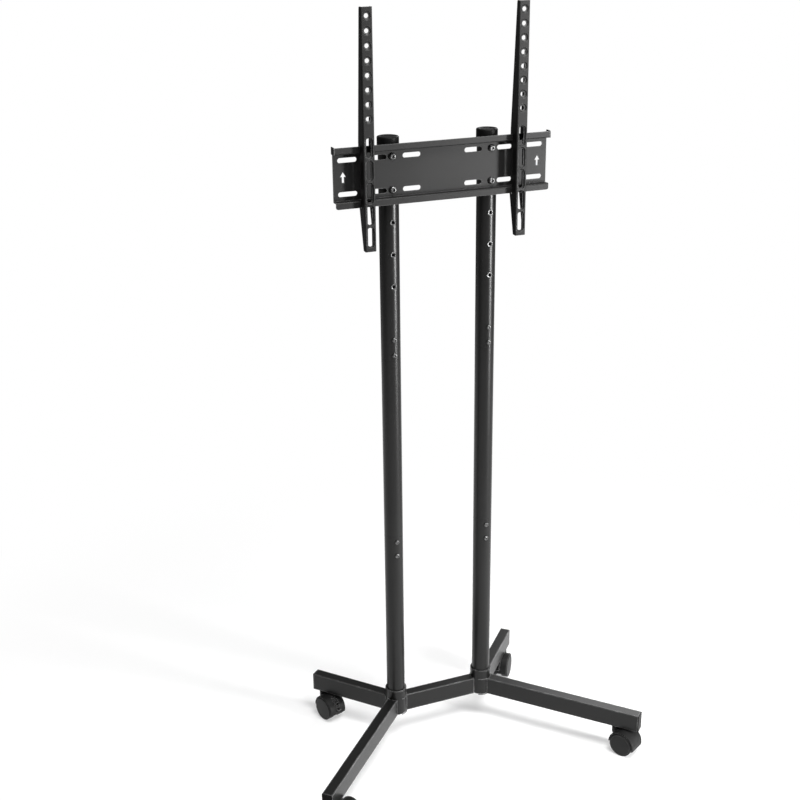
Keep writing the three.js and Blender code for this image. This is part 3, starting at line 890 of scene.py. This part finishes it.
# %% Sockets
cup_low, cup_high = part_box("base_socket_left")
cup_radius = half_size("base_socket_left")
rings = [(cup_radius - mm(0.8), cup_low.z), (cup_radius, cup_low.z + mm(0.8))]
rings += rounded(cup_radius, cup_high.z, mm(1.2))
rings += [(bore + mm(0.4), cup_high.z), (bore, cup_high.z - mm(0.4)),
          (bore, cup_low.z + mm(3))]
cup = smooth(turn_up("socket_left", rings, TUBE_SIDES), 40)
placed(cup, AT_LEFT)
dress_both(cup, "socket", "base_socket")

# %% [markdown]
# ## Legs and crossbar
#
# The base is rectangular tube with rounded corners. A leg is a block with its ends open, four
# long edges bevelled, and a wall from Solidify. A round cutter gives its end the hollow that
# fits the socket. The leg is drawn along X and then turned about its pole to where the CAD leg
# lies. Its plastic end cap is a short block whose end face is stepped in twice, which rounds
# it, and whose back is extruded into the hollow plug that holds it in the tube.

# %% Rectangular tube
LEG_CORNER, LEG_WALL = mm(0.9), mm(0.8)
LEG_HALF = mm(21.6) / 2
leg_low, leg_high = (corner.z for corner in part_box("base_crossbar"))
LEGS = ("front_left", "front_right", "back_left", "back_right")
swivel = {joint["name"].replace("caster_swivel_", ""): Vector(joint["pos_m"])
          for joint in frame["joints"] if joint["name"].startswith("caster_swivel_")}
spin = {joint["name"].replace("wheel_spin_a_", ""): Vector(joint["pos_m"])
        for joint in frame["joints"] if joint["name"].startswith("wheel_spin_a_")}


def square_tube(name, start, end):
    piece = block(name, (start, -LEG_HALF, leg_low), (end, LEG_HALF, leg_high))
    pick(piece, "FACE", lambda place, normal: abs(normal.x) > 0.9)
    bpy.ops.mesh.delete(type="FACE")
    done()
    bevelled(piece, LEG_CORNER, 5, lambda place, way: abs(way.x) > 0.9)
    return applied(piece, "SOLIDIFY", thickness=LEG_WALL, offset=-1)


def socket_cutter(x):
    return rod(cup_radius + mm(0.1), (x, 0, leg_low - mm(9)), (x, 0, leg_high + mm(9)), steps=96)


bar_half = (POLE["right"].x - POLE["left"].x) / 2
bar = square_tube("crossbar", -bar_half, bar_half)
carve(bar, [socket_cutter(-bar_half), socket_cutter(bar_half)])
soften(bar, BROKEN_EDGE)
placed(bar, Matrix.Translation(((POLE["left"].x + POLE["right"].x) / 2, POLE["left"].y, 0)))
dress(bar, "frame", "base_crossbar", "base_crossbar")


# %% Legs and their end caps
CAP_FACE, STEM_HOLE = mm(2), mm(5.3)


def leg_measures(name):
    """The leg's reach, its heading and how far out its caster is, all from the CAD."""
    axis = POLE[name.split("_")[1]]
    way = swivel[name] - Vector((axis.x, axis.y, swivel[name].z))
    heading = math.atan2(way.y, way.x)
    low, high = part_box("leg_end_cap_" + name)
    far = high.x - axis.x if way.x > 0 else axis.x - low.x
    reach = (far - LEG_HALF * abs(math.sin(heading))) / abs(math.cos(heading))
    return reach, heading, way.length


def step_out(x, way, narrower):
    """Extrude the picked end face along X, then draw it in by an amount all round."""
    bpy.ops.mesh.extrude_region_move(TRANSFORM_OT_translate={"value": (way, 0, 0)})
    half_height = (leg_high - leg_low) / 2 - narrower["from"]
    half_width = LEG_HALF - narrower["from"]
    less = narrower["to"] - narrower["from"]
    scale = (1, 1 - less / half_width, 1 - less / half_height)
    centre = (x + way, 0, (leg_high + leg_low) / 2)
    bpy.ops.transform.resize(value=scale, center_override=centre)


def end_cap(name, length):
    back, front = length - CAP_FACE, length - mm(0.6)
    piece = block(name, (back, -LEG_HALF, leg_low), (front, LEG_HALF, leg_high))
    bevelled(piece, LEG_CORNER, 5, lambda place, way: abs(way.x) > 0.9)
    pick(piece, "FACE", lambda place, normal: normal.x > 0.9)
    step_out(front, mm(0.4), {"from": 0, "to": mm(0.2)})
    step_out(front + mm(0.4), mm(0.2), {"from": mm(0.2), "to": mm(0.6)})
    done()
    plug, hollow = LEG_WALL + mm(0.3), LEG_WALL + mm(2.3)
    pick(piece, "FACE", lambda place, normal: normal.x < -0.9)
    step_out(back, 0, {"from": 0, "to": plug})
    step_out(back, mm(-9), {"from": plug, "to": plug})
    step_out(back - mm(9), 0, {"from": plug, "to": hollow})
    step_out(back - mm(9), mm(8), {"from": hollow, "to": hollow})
    done()
    return smooth(piece, 40)


for name in LEGS:
    length, heading, stem_at = leg_measures(name)
    leg = square_tube(f"leg_tube_{name}", 0, length - CAP_FACE - mm(0.2))
    stem_hole = rod(STEM_HOLE, (stem_at, 0, leg_low - mm(4)), (stem_at, 0, leg_low + mm(4)))
    carve(leg, [socket_cutter(0), stem_hole])
    soften(leg, BROKEN_EDGE)
    cap = end_cap(f"leg_cap_{name}", length)
    axis = POLE[name.split("_")[1]]
    turn = Matrix.Translation((axis.x, axis.y, 0)) @ Matrix.Rotation(heading, 4, "Z")
    dress(placed(leg, turn), "frame", "leg_" + name, "leg_" + name)
    dress(placed(cap, turn), "frame", "leg_end_cap", "leg_end_cap_" + name)
    print(name, "leg", round(length, 4), "m at", round(math.degrees(heading), 2), "degrees")

# %% [markdown]
# ## Weld beads
#
# The legs and the bar are welded to the sockets along their upper and lower edges. A bead is a
# thin rounded cord of steel that lies in the corner. It starts as a small circle, is spun round
# the socket through the width of the tube, and one bead is copied to every joint.

# %% Weld beads
BEAD = mm(0.9)
bead_angle = 2 * math.asin((LEG_HALF - LEG_CORNER) / cup_radius)
bead = added("bead_pattern", bpy.ops.mesh.primitive_circle_add, vertices=10, radius=BEAD,
             fill_type="NGON", location=(cup_radius + mm(0.2), 0, 0), rotation=TURN_TO_Y)
placed(bead, Matrix.Rotation(-bead_angle / 2, 4, "Z"))
bpy.ops.object.mode_set(mode="EDIT")
bpy.ops.mesh.select_all(action="SELECT")
bpy.ops.mesh.spin(steps=14, angle=bead_angle, center=(0, 0, 0), axis=(0, 0, 1))
bpy.ops.mesh.select_all(action="SELECT")
bpy.ops.mesh.remove_doubles(threshold=0.00001)
closed()
smooth(bead, 60)
joints_at = [(POLE["left"], 0.0, "bar_left"), (POLE["right"], math.pi, "bar_right")]
joints_at += [(POLE[name.split("_")[1]], leg_measures(name)[1], name) for name in LEGS]
for axis, heading, name in joints_at:
    for level, z in (("top", leg_high), ("low", leg_low)):
        turn = Matrix.Translation((axis.x, axis.y, z)) @ Matrix.Rotation(heading, 4, "Z")
        dress(copied(bead, f"weld_{level}_{name}", turn), "frame", "base_socket")
bpy.data.objects.remove(bead)

# %% [markdown]
# ## Casters
#
# A caster is a moulded hood over two wheels, and it turns on a steel stem that goes up into
# the leg. All four are alike, so one is modelled at the origin with its stem on Z and its
# wheels trailing towards +X. It is then copied to each leg and turned to where the CAD joints
# say its wheels are. The hood is a band round the wheels with a web between them.

# %% Caster sizes
WHEEL_RADIUS = half_size("caster_wheel_a_front_left", 2)
TRAIL = (spin["front_left"].xy - swivel["front_left"].xy).length
HOOD_OUTER, HOOD_INNER, HOOD_HALF = mm(29.0), mm(26.4), mm(20)
HOOD_LOW, HOOD_HIGH, HOOD_ROUND = -15, 180, mm(1.5)
WEB_HALF, HUB_REACH, HUB_DROP = mm(6), mm(11), mm(9)
HOOD_MIDDLE, PIN_HOLE, AXLE_HOLE = (HOOD_OUTER + HOOD_INNER) / 2, mm(4.4), mm(3.3)
BOSS_RADIUS, boss_top = mm(9), leg_low - mm(3.6)
print("wheel radius", round(WHEEL_RADIUS, 4), "trail", round(TRAIL, 4))


def arc(radius, start, end, steps=32):
    """Points round the wheel axle, in the plane of y = 0."""
    angles = [math.radians(start + (end - start) * i / steps) for i in range(steps + 1)]
    return [(TRAIL + radius * math.cos(a), WHEEL_RADIUS + radius * math.sin(a)) for a in angles]


def side_shape(name, points, half):
    return extruded(name, [(x, -half, z) for x, z in points], (0, 2 * half, 0))


def along_axle(radius, steps=32):
    """A round cutter on the wheel axle, as long as the hood is wide."""
    return rod(radius, (TRAIL, -HOOD_HALF, WHEEL_RADIUS), (TRAIL, HOOD_HALF, WHEEL_RADIUS), "Y", steps)


def from_axle(place):
    return math.hypot(place.x - TRAIL, place.z - WHEEL_RADIUS)


# %% Hood
def hood_shape():
    band = side_shape("hood", arc(HOOD_OUTER, HOOD_LOW, HOOD_HIGH)
                      + arc(HOOD_INNER, HOOD_HIGH, HOOD_LOW), HOOD_HALF)
    bevelled(band, HOOD_ROUND, 4, lambda place, way: from_axle(place) > HOOD_OUTER - mm(0.2)
             and abs(way.y) < 0.5)
    web = side_shape("web", arc(HOOD_MIDDLE, HOOD_LOW, HOOD_HIGH)
                     + [(TRAIL - HUB_REACH, WHEEL_RADIUS - HUB_DROP),
                        (TRAIL + HUB_REACH, WHEEL_RADIUS - HUB_DROP)], WEB_HALF)
    low = boss_top - mm(14)
    boss = turn_up("boss", [(BOSS_RADIUS, low)] + rounded(BOSS_RADIUS, boss_top, mm(1.2)), 48)
    carve(boss, [along_axle(HOOD_MIDDLE, 64)])
    carve(band, [web], "UNION")
    carve(band, [boss], "UNION")
    carve(band, [rod(PIN_HOLE, (0, 0, boss_top - mm(20)), (0, 0, boss_top + mm(3)))])
    carve(band, [along_axle(AXLE_HOLE)])
    return band


LEVER_LOW, LEVER_HIGH, LEVER_HALF = 8, 50, mm(4.6)
LEVER_PROUD, LEVER_THICK, LEVER_LIP = mm(1.8), mm(5), mm(4)
LEVER_WINDOWS, HOOD_SLOT = ((12, 19), (29, 37)), (62, 70)
plain_hood = hood_shape()
brake_hood = copied(plain_hood, "brake_hood")


def curved_cutter(inner, outer, start, end, half):
    """A block bent round the axle, from one angle to another."""
    return side_shape("cutter", arc(outer, start, end, 12) + arc(inner, end, start, 12), half)


pocket_in, pocket_out = HOOD_OUTER - mm(10), HOOD_OUTER + mm(6)
carve(brake_hood, [curved_cutter(pocket_in, pocket_out, LEVER_LOW - 9, LEVER_HIGH + 4.5,
                                 LEVER_HALF + mm(0.7)),
                   curved_cutter(HOOD_OUTER - mm(2), pocket_out, *HOOD_SLOT, mm(4.5))])
for piece in (plain_hood, brake_hood):
    soften(piece, PRESSED_EDGE, angle=40)
    print(piece.name, len(piece.data.polygons), "faces")

# %% [markdown]
# ## Brake levers
#
# The two back casters have a lever that is pressed down with a foot. It lies in a pocket of the
# hood and follows its curve, with a lip at the low end for the toe and two windows that save
# plastic. It is an outline of two arcs and a lip point, extruded across, cut and softened.

# %% Brake lever
lever_out = HOOD_OUTER + LEVER_PROUD
lip = arc(lever_out + LEVER_LIP, LEVER_LOW, LEVER_HIGH, 10)[0]
lever = side_shape("lever", [lip] + arc(lever_out, LEVER_LOW, LEVER_HIGH, 10)[1:]
                   + arc(lever_out - LEVER_THICK, LEVER_HIGH, LEVER_LOW, 10), LEVER_HALF)
for start, end in LEVER_WINDOWS:
    carve(lever, [curved_cutter(lever_out - LEVER_THICK - mm(1), pocket_out, start, end, mm(2.4))])
soften(lever, mm(0.5), 2)

# %% [markdown]
# ## Wheels and stems
#
# A wheel is a plain disc of nylon with a rounded tread, and a thin groove sets its flat face
# off from its rim. The stem has a collar that carries the leg. Both are turned, and the wheel
# is then laid over, so that its outer face looks away from the hood's web.

# %% Wheel
WHEEL_INNER, WHEEL_OUTER, WHEEL_BORE = mm(6.4), mm(21.5), mm(3.4)
rings = [(WHEEL_BORE, WHEEL_OUTER - mm(3)), (WHEEL_BORE, WHEEL_INNER),
         (WHEEL_RADIUS - mm(1.8), WHEEL_INNER)]
rings += [(WHEEL_RADIUS - mm(0.5), WHEEL_INNER + mm(0.5)), (WHEEL_RADIUS, WHEEL_INNER + mm(1.8))]
rings += rounded(WHEEL_RADIUS, WHEEL_OUTER, mm(1.6))
rings += [(mm(22.2), WHEEL_OUTER), (mm(21.8), WHEEL_OUTER - mm(0.5)),
          (mm(21.3), WHEEL_OUTER - mm(0.5)), (mm(20.8), WHEEL_OUTER - mm(0.15)),
          (mm(1.2), WHEEL_OUTER), (mm(0.5), WHEEL_OUTER)]
wheel = smooth(turn_up("wheel", rings, 72), 35)

# %% Stem
collar_low = leg_low - mm(3.3)
stem = smooth(turn_up("stem", [
    (mm(3.6), boss_top - mm(19.7)), (mm(4), boss_top - mm(19.2)), (mm(4), collar_low),
    (mm(6.6), collar_low), (mm(7), collar_low + mm(0.4)), (mm(7), leg_low - mm(0.7)),
    (mm(6.6), leg_low - mm(0.3)), (mm(5), leg_low - mm(0.3)), (mm(5), leg_low + mm(26)),
    (mm(4), leg_low + mm(27))], 40), 35)

# %% Place the casters
for name in LEGS:
    trail = spin[name] - swivel[name]
    turn = Matrix.Rotation(math.atan2(trail.y, trail.x), 4, "Z")
    place = Matrix.Translation((swivel[name].x, swivel[name].y, 0)) @ turn
    has_lever = f"caster_brake_lever_{name}" in nodes
    hood = copied(brake_hood if has_lever else plain_hood, f"hood_{name}", place)
    dress(hood, f"caster_{name}", "caster_hood", f"caster_hood_{name}")
    dress(copied(stem, f"stem_{name}", place), "frame", "caster_stem", f"caster_stem_{name}")
    if has_lever:
        dress(copied(lever, f"lever_{name}", place), f"brake_lever_{name}",
              "caster_brake_lever", f"caster_brake_lever_{name}")
    across = turn.to_3x3() @ Vector((0, 1, 0))
    for letter in "ab":
        offset = middle(f"caster_wheel_{letter}_{name}") - spin[name]
        way = 1 if offset.dot(across) > 0 else -1
        lay = Matrix.Translation((TRAIL, 0, WHEEL_RADIUS)) @ Matrix.Rotation(
            -way * math.pi / 2, 4, "X")
        dress(copied(wheel, f"wheel_{letter}_{name}_turned", place @ lay),
              f"wheel_{letter}_{name}", "caster_wheel", f"caster_wheel_{letter}_{name}")
for pattern in (plain_hood, brake_hood, lever, wheel, stem):
    bpy.data.objects.remove(pattern)

# %% [markdown]
# ## Floor, world and lamps
#
# The photograph has a pure white ground. The floor is pale and keeps the stand's shadow near
# it, and further out it fades to plain white for the camera and for reflections, and so does
# the world for the camera. The white paper is only a few metres wide, so a reflection that
# looks out flatter than that sees the dimmer studio, as the world does where it only lights. A
# tall soft strip at the front right draws the bright band down each pole, a large soft lamp
# hangs above and in front, and one behind at the right lights the tops of the legs.

# %% Floor
def ray_kinds(graph):
    return [graph.node("ShaderNodeLightPath", output=f"Is {kind} Ray")
            for kind in ("Camera", "Glossy", "Transmission")]


FLOOR_SIZE, FADE_FROM, FADE_TO = 5.0, 0.5, 1.5
FLOOR_TONE, FLOOR_LIFT = 0.62, 0.40
bpy.ops.object.select_all(action="DESELECT")
bpy.ops.mesh.primitive_plane_add(size=FLOOR_SIZE)
floor = bpy.context.object
floor.name = "floor"
floor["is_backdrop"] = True

ground = Finish("pale_floor")
ground.set(base_color=grey(FLOOR_TONE), roughness=0.8)
rays = sum(ray_kinds(ground))
place = ground.node("ShaderNodeTexCoord", output="Object")
away = ground.node("ShaderNodeVectorMath", {"operation": "LENGTH"}, {0: place}, "Value")
far = mask(ground, away, FADE_FROM, FADE_TO)
shaded = Wire(ground, ground.shader.outputs[0])
lift = ground.node("ShaderNodeEmission", inputs={"Color": grey(1.0), "Strength": FLOOR_LIFT})
lifted = ground.node("ShaderNodeAddShader", inputs={0: shaded, 1: lift})
white = ground.node("ShaderNodeEmission", inputs={"Color": grey(1.0), "Strength": 1.0})
faded = ground.node("ShaderNodeMixShader", inputs={0: far, 1: lifted, 2: white})
seen = ground.node("ShaderNodeMixShader", inputs={0: rays, 1: shaded, 2: faded})
ground.feed(ground.tree.nodes["Material Output"].inputs["Surface"], seen)
floor.data.materials.append(ground.material)

# %% World
SWEEP_START, SWEEP_FULL = -0.30, -0.45
STUDIO, PAPER = 0.17, 1.0
world = bpy.data.worlds.new("studio")
world.use_nodes = True
bpy.context.scene.world = world
bpy.context.scene.view_settings.view_transform = "Standard"
sky = Graph(world.node_tree)
soft, paper = (sky.node("ShaderNodeBackground", inputs={"Color": grey(1.0), "Strength": strength})
               for strength in (STUDIO, PAPER))
facing = sky.node("ShaderNodeTexCoord", output="Generated")
tilt = sky.node("ShaderNodeSeparateXYZ", inputs={0: facing}, output="Z")
sweep = sky.node("ShaderNodeMapRange", inputs={0: tilt, 1: SWEEP_START, 2: SWEEP_FULL})
by_camera, glossy, clear = ray_kinds(sky)
either = by_camera | (glossy | clear) * sweep
seen = sky.node("ShaderNodeMixShader", inputs={0: either, 1: soft, 2: paper})
sky.feed(sky.tree.nodes["World Output"].inputs["Surface"], seen)

# %% Lamps
def softbox(name, size, place, target, power):
    data = bpy.data.lights.new(name, "AREA")
    data.shape, data.size, data.size_y, data.energy = "RECTANGLE", size[0], size[1], power
    lamp = bpy.data.objects.new(name, data)
    bpy.context.scene.collection.objects.link(lamp)
    lamp.location = place
    lamp.rotation_euler = (Vector(target) - Vector(place)).to_track_quat("-Z", "Y").to_euler()


softbox("key", (0.45, 1.9), (2.07, -2.18, 0.87), (0, 0, 0.80), 160)
softbox("top", (1.3, 1.3), (0.3, -1.1, 3.2), (0, 0, 0.8), 100)
softbox("back", (1.5, 1.2), (2.3, 2.3, 2.4), (0.2, 0, 0.2), 30)

# %% Measure and finish
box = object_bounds()
for name, corners in (("CAD", cad_box), ("dressed", box)):
    print(name, [[round(c, 4) for c in corner] for corner in corners])
